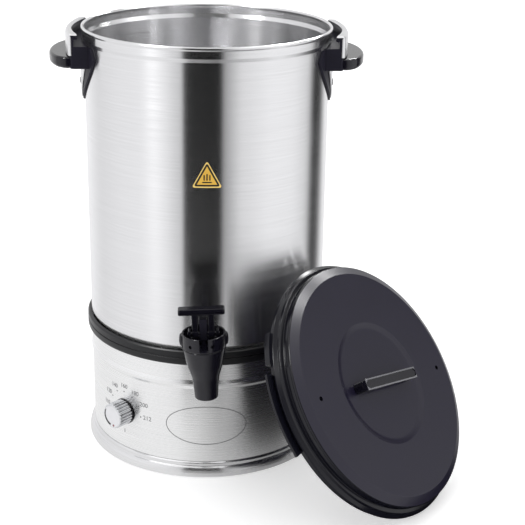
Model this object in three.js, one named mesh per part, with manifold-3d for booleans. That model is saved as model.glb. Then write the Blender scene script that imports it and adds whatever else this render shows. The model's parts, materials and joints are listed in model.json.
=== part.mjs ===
// Electric brew kettle: a stainless pot on a heated base, with a draw-off tap, a thermostat
// knob, two side handles and a loose bayonet lid that leans against the front of the pot.
//
// Millimetres, +Z up, -Y is the front with the tap. The origin is the centre of the flat
// underside of the base plate. The floor is plateHeight below it.
// Heights inside the kettle group are measured from the floor.

import * as THREE from 'three';
import { mergeVertices } from 'three/addons/utils/BufferGeometryUtils.js';
import Module from 'manifold-3d';

const wasm = await Module();
wasm.setup();

// ---------------------------------------------------------------- driving dimensions
const bodyRadius = 140;
const sheet = 1.2;
const rimHeight = 504;
const potFloor = 156;
const bandLow = 143;
const bandHigh = 160;
const ribHeight = 117;
const footRadius = 146;
const plateHeight = 6;
const gap = 0.3;

const knobAngle = -43.8;
const knobHeight = 65;
const knobRadius = 15.1;
const knobFace = 159.6;

const tapX = -2.7;
const tapReach = 34;
const tapHeight = 178;
const tapLean = 2.5;

const lidCentre = [192.6, -170.2, 133.0];
const lidAzimuth = -36.1;
const lidElevation = 35.2;
const lidFaceRadius = 140.5;
const lidFlangeRadius = 149;

const handleHalfWidth = 57;
const channelRadius = 157.2;
const inletHeight = 62;

const ringSides = 36;
const curveSides = 72;
const smallSides = 14;

// ---------------------------------------------------------------- finishes
const steel = { color: 0xc9cacc, roughness: 0.28, metalness: 1 };
const dullSteel = { color: 0x9a9b9d, roughness: 0.45, metalness: 1 };
const chrome = { color: 0xe2e4e8, roughness: 0.1, metalness: 1 };
const aluminium = { color: 0xb4b6b8, roughness: 0.5, metalness: 1 };
const brass = { color: 0xb08d4a, roughness: 0.35, metalness: 1 };
const blackPlastic = { color: 0x17171b, roughness: 0.35, metalness: 0 };
const blackRubber = { color: 0x101012, roughness: 0.7, metalness: 0 };
const clearSilicone = { color: 0xd9d6cf, roughness: 0.6, metalness: 0 };
const paleCeramic = { color: 0xe4dfd2, roughness: 0.7, metalness: 0 };
const wireBrown = { color: 0x6b3a1e, roughness: 0.6, metalness: 0 };
const wireBlue = { color: 0x274f9e, roughness: 0.6, metalness: 0 };
const wireGreen = { color: 0x5c8f2f, roughness: 0.6, metalness: 0 };

// ---------------------------------------------------------------- geometry helpers
const rad = THREE.MathUtils.degToRad;

// Merges shared corners, drops triangles that have no area and turns the faces outward.
function closed(geometry) {
  const plain = geometry.index ? geometry.toNonIndexed() : geometry.clone();
  plain.deleteAttribute('normal');
  plain.deleteAttribute('uv');
  const merged = mergeVertices(plain, 1e-4);
  const place = merged.attributes.position;
  const corner = [new THREE.Vector3(), new THREE.Vector3(), new THREE.Vector3()];
  const kept = [];
  let volume = 0;
  for (let i = 0; i < merged.index.count; i += 3) {
    const ids = [0, 1, 2].map((k) => merged.index.getX(i + k));
    if (new Set(ids).size < 3) continue;
    kept.push(...ids);
    ids.forEach((id, k) => corner[k].fromBufferAttribute(place, id));
    volume += corner[0].dot(corner[1].cross(corner[2]));
  }
  if (volume < 0) {
    for (let i = 0; i < kept.length; i += 3) [kept[i], kept[i + 1]] = [kept[i + 1], kept[i]];
  }
  merged.setIndex(kept);
  return merged;
}

function toSolid(geometry) {
  const clean = closed(geometry);
  return new wasm.Manifold(new wasm.Mesh({
    numProp: 3,
    vertProperties: new Float32Array(clean.attributes.position.array),
    triVerts: new Uint32Array(clean.index.array),
  }));
}

function toGeometry(solid) {
  const mesh = solid.getMesh();
  const geometry = new THREE.BufferGeometry();
  geometry.setAttribute('position', new THREE.BufferAttribute(new Float32Array(mesh.vertProperties), 3));
  geometry.setIndex(new THREE.BufferAttribute(new Uint32Array(mesh.triVerts), 1));
  return geometry;
}

function cut(base, ...tools) {
  return toGeometry(tools.reduce((solid, tool) => solid.subtract(toSolid(tool)), toSolid(base)));
}

function join(base, ...others) {
  return toGeometry(others.reduce((solid, other) => solid.add(toSolid(other)), toSolid(base)));
}

function common(a, b) {
  return toGeometry(toSolid(a).intersect(toSolid(b)));
}

// A turned shape about Z from [radius, height] points.
function turned(points, sides = ringSides) {
  const profile = points.map(([radius, height]) => new THREE.Vector2(radius, height));
  return new THREE.LatheGeometry(profile, sides).rotateX(Math.PI / 2);
}

// A full disc or rod about Z between two heights.
function rod(radius, low, high, sides = smallSides) {
  return turned([[0, low], [radius, low], [radius, high], [0, high]], sides);
}

// A washer or tube about Z between two heights.
function tubeRing(inner, outer, low, high, sides = smallSides) {
  return turned([[inner, low], [outer, low], [outer, high], [inner, high], [inner, low]], sides);
}

function box(width, depth, height, x, y, z) {
  return new THREE.BoxGeometry(width, depth, height).translate(x, y, z);
}

function polygon(points) {
  return new THREE.Shape(points.map(([x, y]) => new THREE.Vector2(x, y)));
}

function slab(shape, low, high) {
  const geometry = new THREE.ExtrudeGeometry(shape, { depth: high - low, bevelEnabled: false });
  return geometry.translate(0, 0, low);
}

function regular(radius, sides) {
  const points = [];
  for (let i = 0; i < sides; i += 1) {
    const angle = (2 * Math.PI * i) / sides;
    points.push([radius * Math.cos(angle), radius * Math.sin(angle)]);
  }
  return polygon(points);
}

function wire(points, radius, sides, steps) {
  const path = new THREE.CatmullRomCurve3(points.map((p) => new THREE.Vector3(...p)));
  const section = regular(radius, sides);
  return new THREE.ExtrudeGeometry(section, { extrudePath: path, steps, bevelEnabled: false });
}

// Points along an arc of an ellipse, in degrees from the x axis.
function ellipseArc(centreX, centreY, a, b, from, to, count) {
  const points = [];
  for (let i = 0; i <= count; i += 1) {
    const angle = rad(from + ((to - from) * i) / count);
    points.push([centreX + a * Math.cos(angle), centreY + b * Math.sin(angle)]);
  }
  return points;
}

// Turns a shape built about Z so that it runs along +Y, or along +X.
const alongY = (geometry) => geometry.rotateX(-Math.PI / 2);
const alongX = (geometry) => geometry.rotateY(Math.PI / 2);

function add(parent, name, geometry, finish) {
  const mesh = new THREE.Mesh(closed(geometry), new THREE.MeshStandardMaterial(finish));
  mesh.name = name;
  parent.add(mesh);
  return mesh;
}

const brewKettle = new THREE.Group();
const kettle = new THREE.Group();
kettle.position.z = -plateHeight;
brewKettle.add(kettle);

// ---------------------------------------------------------------- pot
const potInside = bodyRadius - sheet;
const collarRadius = bodyRadius + 2;
const tapDirection = (geometry) => geometry.translate(tapX, -(bodyRadius + tapReach), tapHeight);

function addPot() {
  const shell = turned([
    [0, potFloor - sheet], [128, potFloor - sheet], [136.5, potFloor + 1.5], [bodyRadius, 164],
    [bodyRadius, rimHeight - 17], [collarRadius, rimHeight - 12.5], [collarRadius, rimHeight - 4.5],
    [143.2, rimHeight - 2.9], [143.2, rimHeight - 1.3], [142, rimHeight], [140.2, rimHeight],
    [139, rimHeight - 1.4], [139.2, rimHeight - 3.2], [collarRadius - sheet, rimHeight - 4.6],
    [collarRadius - sheet, rimHeight - 12], [potInside, rimHeight - 16.5], [potInside, 164.5],
    [135.6, potFloor + 2.8], [127.6, potFloor], [0, potFloor],
  ]);
  const tapHole = tapDirection(alongY(rod(11, 20, 45)));
  add(kettle, 'pot_shell', cut(shell, tapHole), steel);

  add(kettle, 'band_gasket', turned([
    [140.4, bandLow], [143.6, bandLow], [144.6, 144.8], [144.6, 149.6], [143.2, 151], [143.2, 152.2],
    [144.6, 153.6], [144.6, 158.4], [143.4, bandHigh], [140.4, bandHigh], [140.4, bandLow],
  ]), blackRubber);
}

// ---------------------------------------------------------------- base housing
const baseRadius = 139.6;
const baseInside = baseRadius - sheet;
const shellLow = 18.6;
const screwCircle = 125;
const footCircle = 108;
const flangeLow = 8.2;
const plateLow = plateHeight + 0.6;
const bossRadius = 24;

// Turns a shape built with its axis along -Y at the front to an angle round the kettle.
const swing = (geometry, degrees) => geometry.rotateZ(rad(degrees));

function addBase() {
  const shell = turned([
    [baseRadius, shellLow], [baseRadius, ribHeight - 5], [140.8, ribHeight - 3.2],
    [141.4, ribHeight], [140.8, ribHeight + 3.2], [baseRadius, ribHeight + 5], [baseRadius, 150.4],
    [baseInside, 150.4], [baseInside, ribHeight + 4.4], [baseRadius, ribHeight + 2.8],
    [140.2, ribHeight], [baseRadius, ribHeight - 2.8], [baseInside, ribHeight - 4.4],
    [baseInside, shellLow], [baseRadius, shellLow],
  ]);
  const bushHole = swing(alongY(rod(5.4, -150, -120)).translate(0, 0, knobHeight), knobAngle);
  const inletHole = box(34, 30, 24, 0, 138, inletHeight);
  add(kettle, 'base_shell', cut(shell, bushHole, inletHole), steel);

  let ring = turned([
    [144.6, 0.8], [footRadius, 2], [footRadius, 9], [144.6, 12], [141.5, 13.6], [140.9, 15],
    [141.5, 16.4], [140.6, 18.2], [138.6, 18.2], [138.6, 14.6], [142.6, 10.4], [118, 10.4],
    [118, flangeLow], [144.4, flangeLow], [144.4, 0.8], [144.6, 0.8],
  ]);
  const plateHoles = [];
  for (let i = 0; i < 4; i += 1) {
    const angle = rad(90 * i);
    const x = screwCircle * Math.cos(angle);
    const y = screwCircle * Math.sin(angle);
    ring = cut(ring, rod(2.3, 5, 14, 12).translate(x, y, 0));
    plateHoles.push(rod(2.3, 5, 14, 12).translate(x, y, 0));
    const screw = turned([
      [0, 4.4], [3, 4.4], [3.9, 5.2], [3.9, plateLow - gap], [1.9, plateLow - gap], [1.9, 16], [0, 16],
    ], 12);
    add(kettle, `base_screw_${i + 1}`, screw.translate(x, y, 0), dullSteel);
  }
  add(kettle, 'foot_ring', ring, steel);

  const plateTop = flangeLow - gap;
  const plate = turned([
    [0, plateHeight], [bossRadius, plateHeight], [bossRadius + 3, plateLow], [131, plateLow],
    [131, plateTop], [0, plateTop],
  ]);
  const vents = [];
  for (let i = 0; i < 6; i += 1) {
    vents.push(swing(box(6, 44, 10, 0, -62, plateHeight), 30 + 60 * i));
  }
  add(kettle, 'base_plate', cut(plate, ...plateHoles, ...vents), dullSteel);

  for (let i = 0; i < 4; i += 1) {
    const angle = rad(45 + 90 * i);
    const foot = turned([[0, 0], [10, 0], [11, 1], [12, plateLow - gap], [0, plateLow - gap]]);
    const mesh = add(kettle, `foot_pad_${i + 1}`, foot, blackRubber);
    mesh.position.set(footCircle * Math.cos(angle), footCircle * Math.sin(angle), 0);
  }
}

// ---------------------------------------------------------------- heater and wiring
const heatPlateLow = 147.2;

function addHeater() {
  const plateTop = potFloor - sheet - gap;
  add(kettle, 'heat_plate', turned([
    [0, heatPlateLow], [92, heatPlateLow], [95, 149], [95, plateTop], [0, plateTop],
  ]), aluminium);

  const ringPoints = [[66, -14, 112], [66, -14, 132]];
  for (let i = 0; i <= 12; i += 1) {
    const angle = rad((318 * i) / 12);
    ringPoints.push([70 * Math.cos(angle), 70 * Math.sin(angle), heatPlateLow - 5.6]);
  }
  ringPoints.push([50, -54, 130], [50, -54, 112]);
  add(kettle, 'heating_element', wire(ringPoints, 4, 6, 44), dullSteel);

  add(kettle, 'thermal_cutout', turned([
    [0, 133], [7, 133], [8, 134], [8, 142], [12, 142], [12, heatPlateLow - gap], [0, heatPlateLow - gap],
  ]), paleCeramic);

  add(kettle, 'terminal_block', box(46, 18, 15, 0, 84, flangeLow + 7.5), paleCeramic);
}

const pinSpacing = 7;
const pinBack = 104;

function addInlet() {
  const flange = box(46, 9, 30, 0, 139.5, inletHeight);
  const body = box(32, 30, 22, 0, 126, inletHeight);
  const curve = tubeRing(80, bodyRadius + gap, inletHeight - 30, inletHeight + 30, curveSides);
  const rim = cut(flange, curve);
  const socket = box(26, 24, 16, 0, 135, inletHeight);
  const holes = [];
  const wires = [wireBrown, wireGreen, wireBlue];
  ['live', 'earth', 'neutral'].forEach((role, i) => {
    const x = pinSpacing * (i - 1);
    holes.push(alongY(rod(1.9, 100, 130, 8)).translate(x, 0, inletHeight));
    add(kettle, `inlet_pin_${role}`, alongY(rod(1.6, pinBack, 138, 8)).translate(x, 0, inletHeight), brass);
    const points = [
      [x, pinBack - 1, inletHeight], [x, 98, inletHeight - 2], [1.4 * x, 92, 46],
      [1.8 * x, 86, 32], [2 * x, 84, flangeLow + 15.6],
    ];
    add(kettle, `wire_${role}`, wire(points, 1.4, 5, 10), wires[i]);
  });
  add(kettle, 'inlet_housing', cut(join(body, rim), socket, ...holes), blackPlastic);
}

// ---------------------------------------------------------------- thermostat and knob
const knobGroup = new THREE.Group();
knobGroup.rotation.z = rad(knobAngle);
knobGroup.position.z = knobHeight;
kettle.add(knobGroup);

// Shapes on the knob's axis are turned about Z with their height as distance from the kettle axis.
const onKnobAxis = (geometry) => geometry.rotateX(Math.PI / 2);

function addThermostat() {
  const bush = tubeRing(3.1, 5, 118, 139.4, 16);
  const body = box(32, 40, 26, 0, 0, 120);
  const bore = rod(3.1, 112, 141, 16);
  add(knobGroup, 'thermostat_body', onKnobAxis(cut(join(body, bush), bore)), paleCeramic);
  add(knobGroup, 'knob_bezel', onKnobAxis(turned([
    [5.4, 140.1], [15.6, 140.1], [15.8, 140.6], [15.6, 141.3], [5.4, 141.3], [5.4, 140.1],
  ])), blackPlastic);
  add(knobGroup, 'knob_shaft', onKnobAxis(rod(3, 112.4, 156, 16)), dullSteel);

  const flutes = [];
  const fluteCount = 24;
  for (let i = 0; i < 2 * fluteCount; i += 1) {
    const angle = (Math.PI * i) / fluteCount;
    const radius = i % 2 ? knobRadius - 0.7 : knobRadius;
    flutes.push([radius * Math.cos(angle), radius * Math.sin(angle)]);
  }
  const grip = slab(polygon(flutes), 141.7, knobFace - 1.2);
  add(knobGroup, 'knob', onKnobAxis(cut(grip, rod(3.3, 140, 156.3, 16))), chrome);
  const cap = turned([
    [0, knobFace - 0.9], [13, knobFace - 0.9], [13, knobFace - 0.3], [12.4, knobFace], [0, knobFace],
  ]);
  add(knobGroup, 'knob_cap', onKnobAxis(cap), aluminium);

  const upward = new THREE.Vector3(0, 0, 1);
  const bend = new THREE.Vector3(0, -100, 0).applyAxisAngle(upward, rad(knobAngle));
  add(kettle, 'thermostat_capillary', wire([
    [bend.x, bend.y, 86], [bend.x * 0.96, bend.y * 0.96, 104], [-52, -58, 128],
    [-34, -44, 140], [-16, -30, 145],
  ], 1.2, 5, 14), brass);
}

// ---------------------------------------------------------------- handles
const blockLow = 462;
const blockTop = 499.2;
const gripHigh = 475.5;
const gripLow = 462.4;
const channelLow = 487;
const lipLow = 495;
const lipRadius = 153.4;
const bowRadius = 214.8;
const bowCentre = -56.2;
const screwHeight = 438;

// Plan outline of the handle block: flat ends and a gently bowed outer face.
function blockOutline(grow) {
  const radius = bowRadius + grow;
  const half = THREE.MathUtils.radToDeg(Math.asin(handleHalfWidth / radius));
  const bowed = ellipseArc(bowCentre, 0, radius, radius, -half, half, 8);
  return polygon([[110, -handleHalfWidth], ...bowed, [110, handleHalfWidth]]);
}

// Outline that narrows to a rounded tip at its foot, with its widest line level with the grip.
function shieldOutline(halfWidth, tip, top) {
  const middle = 474;
  const taper = 1.55;
  const lower = ellipseArc(0, 0, 1, 1, 180, 360, 18).map(([x, y]) => [
    Math.sign(x) * halfWidth * Math.abs(x) ** taper,
    middle - (middle - tip) * Math.abs(y) ** taper,
  ]);
  return polygon([[-halfWidth + 8, top], ...lower, [halfWidth - 8, top]]);
}

// A plate on the pot wall, cut to an outline drawn in the Y-Z plane.
function wallPlate(outline, inner, outer) {
  const stamp = slab(outline, 90, 160);
  stamp.applyMatrix4(new THREE.Matrix4().makeBasis(
    new THREE.Vector3(0, 1, 0), new THREE.Vector3(0, 0, 1), new THREE.Vector3(1, 0, 0)));
  return common(stamp, tubeRing(inner, outer, 400, 500, curveSides));
}

function addHandle(side, turn) {
  const handle = new THREE.Group();
  handle.rotation.z = rad(turn);
  kettle.add(handle);

  const block = cut(
    slab(blockOutline(0), blockLow, blockTop),
    rod(bodyRadius + gap, 400, rimHeight - 18, curveSides),
    rod(collarRadius + 0.6, rimHeight - 19, 520, curveSides),
    rod(lipRadius, channelLow, 520, curveSides),
    rod(channelRadius, channelLow, lipLow, curveSides),
    fingerRecess(),
  );
  const shield = wallPlate(shieldOutline(69, 416, 486), bodyRadius + gap, 142.4);
  add(handle, `handle_bracket_${side}`, join(block, cut(shield, screwHole())), blackPlastic);

  const hood = cut(
    slab(blockOutline(1.5), 477, 501),
    slab(blockOutline(gap), 470, blockTop + gap),
    rod(lipRadius, 470, 520, curveSides),
  );
  add(handle, `handle_hood_${side}`, hood, steel);

  const outline = polygon([
    [140, -56.6], [157, -56.6], ...ellipseArc(149.6, 0, 29.6, 60, -62, 62, 12), [157, 56.6], [140, 56.6],
  ]);
  const grip = cut(
    slab(outline, gripLow, gripHigh),
    slab(blockOutline(gap), gripLow - 1, gripHigh + 1),
    fingerRecess(),
  );
  add(handle, `handle_grip_${side}`, grip, blackPlastic);

  const trim = wallPlate(shieldOutline(38, 419, 461), 142.8, 144.2);
  add(handle, `handle_trim_${side}`, cut(trim, screwHole(), box(40, 90, 20, 145, 0, 471)), steel);
  const screw = turned([
    [0, 141], [2, 141], [2, 144.6], [4.2, 144.6], [4.2, 145], [3, 145.7], [0, 145.9],
  ], 16);
  add(handle, `handle_screw_${side}`, alongX(screw).translate(0, 0, screwHeight), dullSteel);
}

// The hollow under the block and the grip that the fingers curl into.
function fingerRecess() {
  const outline = polygon([
    [146, -44], [154, -44], ...ellipseArc(150, 0, 22, 44, -60, 60, 8), [154, 44], [146, 44],
  ]);
  return slab(outline, 455, 471);
}

function screwHole() {
  return alongX(rod(2.4, 135, 150, 12)).translate(0, 0, screwHeight);
}

// ---------------------------------------------------------------- tap
// Tap shapes are built about the spout's axis, with Z = 0 at the shank's axis.
const tap = new THREE.Group();
tap.position.set(tapX, -(bodyRadius + tapReach), tapHeight);
tap.rotation.y = rad(-tapLean);
kettle.add(tap);

const seatHeight = -9;
const bonnetLow = 3.6;
const bonnetFloor = 6.1;
const cupRim = 19.8;
const pivotHeight = 18;
const pinHoleRadius = 2.1;
const chamberRadius = 17.5;

function addTap() {
  const spout = turned([
    [10.2, -58.5], [12.2, -58.2], [13.1, -56], [14.2, -42], [15.4, -33], [19.7, -19],
    [24.4, bonnetLow - gap],
    [chamberRadius, bonnetLow - gap], [chamberRadius, seatHeight], [8.5, seatHeight], [8.5, seatHeight - 4],
    [9.4, -45], [10.2, -58.5],
  ], 20);
  const shank = alongY(turned([
    [0, 12], [8, 12], [8, 27.4], [16, 29], [16, 32], [10.5, 32], [10.5, 62], [0, 62],
  ]));
  const chamber = rod(chamberRadius, seatHeight, bonnetLow + 8, 20);
  const bonnetSpace = box(20, 16, 10, 0, 17.8, bonnetLow - gap + 5);
  const bore = alongY(rod(6, 8, 70));
  add(tap, 'tap_body', cut(join(spout, cut(shank, chamber, bonnetSpace)), bore), blackPlastic);

  add(tap, 'tap_gasket_outer', alongY(tubeRing(10.8, 16, 32.3, 33.6)), blackRubber);
  add(tap, 'tap_gasket_inner', alongY(tubeRing(10.8, 14.5, 37.1, 38.8)), clearSilicone);
  const nut = cut(slab(regular(16, 6), 39.1, 47), rod(10.9, 30, 60));
  add(tap, 'tap_nut', alongY(nut), steel);

  const cup = turned([
    [4.6, bonnetLow], [24.2, bonnetLow], [24.7, 4.4], [24.7, 6.4], [24.3, cupRim], [22.2, cupRim],
    [21.6, bonnetFloor], [4.6, bonnetFloor], [4.6, bonnetLow],
  ], 24);
  const pinHole = () => alongX(rod(pinHoleRadius, -20, 20, 12)).translate(0, 0, pivotHeight);
  const ears = [-1, 1].map((s) => cut(box(3, 10, 18, 15.3 * s, 0, 14), pinHole()));
  const lugs = [-1, 1].map((s) => box(5, 9, 16, 24.4 * s, 0, 11.8));
  const slot = box(10, 14, 16, 0, -24, 15.2);
  add(tap, 'tap_bonnet', join(cut(cup, slot), ...ears, ...lugs), blackPlastic);

  const stemBlock = box(8.4, 8, 24.6, 0, 0, 23.7);
  const slotHole = box(12, 4.2, 7.2, 0, 0, 16.5);
  add(tap, 'tap_stem', cut(join(rod(3.2, -2.3, 12), stemBlock), slotHole), brass);
  add(tap, 'tap_pivot_pin', alongX(rod(1.8, -17.4, 17.4, 12)).translate(0, 0, pivotHeight), dullSteel);

  const legs = [-1, 1].map((s) => {
    const foot = alongX(rod(6, -3.5, 3.5)).translate(8.9 * s, 0, pivotHeight);
    return cut(join(box(7, 9, 24, 8.9 * s, 0, 30), foot), pinHole());
  });
  const bar = box(51, 12, 7, -1.4, 0, 45);
  add(tap, 'tap_lever', join(bar, ...legs), blackPlastic);

  add(tap, 'tap_seat_cup', turned([
    [0, -8.7], [11, -8.7], [12, -7.8], [12, -6.2], [6, -5.4], [5, -2.6], [0, -2.6],
  ]), clearSilicone);

  const coil = [];
  const springLow = -3.9;
  const springTravel = 6;
  const turns = 3;
  const stepsPerTurn = 10;
  for (let i = 0; i <= turns * stepsPerTurn; i += 1) {
    const angle = (2 * Math.PI * i) / stepsPerTurn;
    const height = springLow + (springTravel * i) / (turns * stepsPerTurn);
    coil.push([7.6 * Math.cos(angle), 7.6 * Math.sin(angle), height]);
  }
  add(tap, 'tap_spring', wire(coil, 0.7, 4, 36), dullSteel);
}

// ---------------------------------------------------------------- lid
// Lid shapes are built about Z with Z = 0 at the edge of the top face, then leaned on the pot.
const lid = new THREE.Group();

function placeLid() {
  const azimuth = rad(lidAzimuth);
  const elevation = rad(lidElevation);
  const normal = new THREE.Vector3(
    Math.cos(elevation) * Math.cos(azimuth), Math.cos(elevation) * Math.sin(azimuth), Math.sin(elevation));
  const across = new THREE.Vector3(-Math.sin(azimuth), Math.cos(azimuth), 0);
  const uphill = new THREE.Vector3().crossVectors(normal, across);
  lid.quaternion.setFromRotationMatrix(new THREE.Matrix4().makeBasis(across, uphill, normal));
  lid.position.set(...lidCentre);
  kettle.add(lid);
}

const barAngle = -12.2;
const ventRadius = 112;
const dimpleRadius = 70.8;
const lugThickness = 3;

function ringSector(inner, outer, from, to, low, high) {
  const points = [
    ...ellipseArc(0, 0, outer, outer, from, to, 6),
    ...ellipseArc(0, 0, inner, inner, to, from, 6),
  ];
  return slab(polygon(points), low, high);
}

function addLid() {
  const disc = 5;
  const shell = turned([
    [0, disc - 3], [dimpleRadius - 6, disc - 3], [dimpleRadius, disc], [130, disc], [lidFaceRadius, 0],
    [141, -2.2], [140.2, -3.2], [140.2, -9.4], [144.8, -10.6], [145.2, -13.6], [lidFlangeRadius, -16.6],
    [lidFlangeRadius, -19], [145.8, -20], [145.8, -24.6], [144.2, -24.6], [144.2, -12.8],
    [137.6, -12.8], [137.6, -21], [136, -21], [136, -0.5], [129, disc - 2.4],
    [dimpleRadius + 1, disc - 2.4],
    [dimpleRadius - 5, disc - 5.4], [0, disc - 5.4],
  ]);
  const lugs = [0, 180].map((turn) => ringSector(145, 156.6, 152, 186, -24.5, -24.5 + lugThickness)
    .rotateZ(rad(turn)));
  const stops = [0, 180].map((turn) => ringSector(145, 153.6, 134, 148, -24.5, -17.5)
    .rotateZ(rad(turn)));
  const tools = [];
  for (const s of [-1, 1]) {
    tools.push(rod(2, -10, 10, 12).translate(s * ventRadius, 0, 0).rotateZ(rad(barAngle)));
    tools.push(rod(2.3, -10, 10, 12).translate(s * 44, 0, 0).rotateZ(rad(barAngle)));
  }
  add(lid, 'lid_shell', cut(join(shell, ...lugs, ...stops), ...tools), blackPlastic);

  const barProfile = polygon([
    [-51, disc - 2.7], [-37, disc - 2.7], [-34, 12.5], [34, 12.5], [37, disc - 2.7], [51, disc - 2.7],
    [51, 15], [47, 20], [-47, 20], [-51, 15],
  ]);
  const bar = slab(barProfile, -6.5, 6.5).rotateX(Math.PI / 2);
  const pilots = [-1, 1].map((s) => rod(2.3, 0, 12, 12).translate(s * 44, 0, 0));
  add(lid, 'lid_grip', cut(bar, ...pilots).rotateZ(rad(barAngle)), blackPlastic);

  for (const [i, s] of [-1, 1].entries()) {
    const screw = turned([[0, -4.4], [3.6, -4.4], [4, -3.4], [4, -0.8], [2, -0.8], [2, 11], [0, 11]], 12);
    add(lid, `lid_screw_${i + 1}`, screw.translate(s * 44, 0, 0).rotateZ(rad(barAngle)), dullSteel);
  }
  add(lid, 'lid_gasket', tubeRing(138, 143.8, -14.4, -13.1, ringSides), clearSilicone);
}

addPot();
addBase();
addHeater();
addInlet();
addThermostat();
addHandle('right', 0);
addHandle('left', 180);
addTap();
placeLid();
addLid();

export default brewKettle;
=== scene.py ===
"""Looks of an electric brew kettle: a stainless pot on a heated base, with a draw-off tap,
a thermostat knob, side handles and a loose bayonet lid that leans at its front.

Shapes are drawn in millimetres in the frames below and stored in metres in the shared frame."""
import json
import math
from contextlib import contextmanager

import bmesh
import bpy
from mathutils import Matrix, Vector


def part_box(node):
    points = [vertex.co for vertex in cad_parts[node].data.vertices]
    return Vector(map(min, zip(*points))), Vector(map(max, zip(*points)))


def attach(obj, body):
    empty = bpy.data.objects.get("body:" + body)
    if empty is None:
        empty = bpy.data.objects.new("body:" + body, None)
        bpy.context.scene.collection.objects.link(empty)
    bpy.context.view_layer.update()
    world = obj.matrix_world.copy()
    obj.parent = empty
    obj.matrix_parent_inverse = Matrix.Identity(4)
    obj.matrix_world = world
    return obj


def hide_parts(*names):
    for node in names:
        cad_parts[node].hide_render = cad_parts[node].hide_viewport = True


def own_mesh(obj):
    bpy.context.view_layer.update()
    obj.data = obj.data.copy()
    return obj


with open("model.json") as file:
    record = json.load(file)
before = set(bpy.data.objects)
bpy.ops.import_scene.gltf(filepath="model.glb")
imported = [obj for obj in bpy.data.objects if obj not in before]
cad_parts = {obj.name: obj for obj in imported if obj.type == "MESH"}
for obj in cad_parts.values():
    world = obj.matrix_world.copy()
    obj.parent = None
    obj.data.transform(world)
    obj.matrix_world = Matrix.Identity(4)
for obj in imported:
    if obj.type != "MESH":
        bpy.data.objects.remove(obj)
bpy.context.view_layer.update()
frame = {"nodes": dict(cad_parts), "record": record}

# ---------------- driving dimensions, mm
# Radii and heights of the pot and the base
BODY = 140.0
SHEET = 1.2
COLLAR = 142.0
RIM_TOP = 504.0
POT_FLOOR = 156.0
BASE = 139.6
RIB = 117.0
# Heights of the marks on the walls
DIAL_HEIGHT = 65.0
LABEL_HEIGHT = 366.0
# Knob and tap
KNOB_RADIUS = 15.1
KNOB_BACK = 141.1
KNOB_FACE = 159.3
PIVOT = 18.0
PIN_HOLE = 2.1
LEG = 8.9
# Handle brackets: the bowed outer face and the channel that takes the lid's lugs
HANDLE_HALF = 57.0
BOW = 214.8
BOW_CENTRE = -56.2
LIP = 153.4
CHANNEL = 157.2
SCREW_HEIGHT = 438.0
# Where the lid leans: its centre, the direction of its top face and the turn of its bar in degrees
LID_CENTRE = (192.6, -170.2, 133.0)
LID_AZIMUTH = -36.1
LID_ELEVATION = 35.2
LID_BAR_TURN = -12.2
MM = 0.001
GAP = 0.3
# Points on a full circle
FINE = 256
MEDIUM = 96
SMALL = 48

# ---------------- frames
JOINTS = {joint["name"]: joint for joint in frame["record"]["behaviour"]["joints"]}
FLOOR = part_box("foot_pad_1")[0].z
KETTLE = Matrix.Translation((0, 0, FLOOR)) @ Matrix.Scale(MM, 4)


def basis(origin, right, up, out):
    """A frame in mm whose X, Y and Z axes are right, up and out, placed at a point in metres."""
    turn = Matrix((right, up, out)).transposed().to_4x4()
    return Matrix.Translation(origin) @ turn @ Matrix.Scale(MM, 4)


def turn(degrees, axis="Z"):
    return Matrix.Rotation(math.radians(degrees), 4, axis)


def shift(x, y, z):
    return Matrix.Translation((x, y, z))


def knob_frame():
    """Z points out along the knob's axis, Y up, with its origin on the kettle's axis."""
    out = -Vector(JOINTS["thermostat_turn"]["axis"])
    up = Vector((0, 0, 1))
    height = JOINTS["thermostat_turn"]["pos_m"][2]
    return basis((0, 0, height), up.cross(out), up, out)


def tap_frame():
    """Z runs up the spout's axis, with its origin level with the shank."""
    up = Vector(JOINTS["tap_stem_lift"]["axis"])
    across = Vector(JOINTS["tap_pull"]["axis"])
    origin = Vector(JOINTS["tap_pull"]["pos_m"]) - up * PIVOT * MM
    return basis(origin, across, up.cross(across), up)


def lid_frame():
    """Z is the lid's outward normal, with its origin level with the edge of the top face."""
    azimuth = math.radians(LID_AZIMUTH)
    elevation = math.radians(LID_ELEVATION)
    level = math.cos(elevation)
    normal = Vector((level * math.cos(azimuth), level * math.sin(azimuth), math.sin(elevation)))
    across = Vector((-math.sin(azimuth), math.cos(azimuth), 0))
    return basis(KETTLE @ Vector(LID_CENTRE), across, normal.cross(across), normal)


KNOB = knob_frame()
TAP = tap_frame()
LID = lid_frame()
HANDLES = {"right": KETTLE, "left": KETTLE @ turn(180)}
ALONG_Y = turn(-90, "X")
ALONG_X = turn(90, "Y")
# Z points out at the back, Y up, X to the left seen from the front.
INLET = KETTLE @ shift(0, 0, 62) @ Matrix(((-1, 0, 0, 0), (0, 0, 1, 0), (0, 1, 0, 0), (0, 0, 0, 1)))
SHANK = TAP @ ALONG_Y
PIN = TAP @ shift(0, 0, PIVOT) @ ALONG_X
FLAT = Matrix.Identity(4)


# ---------------- outlines
def arc(cx, cy, rx, ry, start, end, steps):
    points = []
    for i in range(steps + 1):
        angle = math.radians(start + (end - start) * i / steps)
        points.append((cx + rx * math.cos(angle), cy + ry * math.sin(angle)))
    return points


def circle(radius, steps, x=0.0, y=0.0):
    return arc(x, y, radius, radius, 0, 360 * (steps - 1) / steps, steps - 1)


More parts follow.
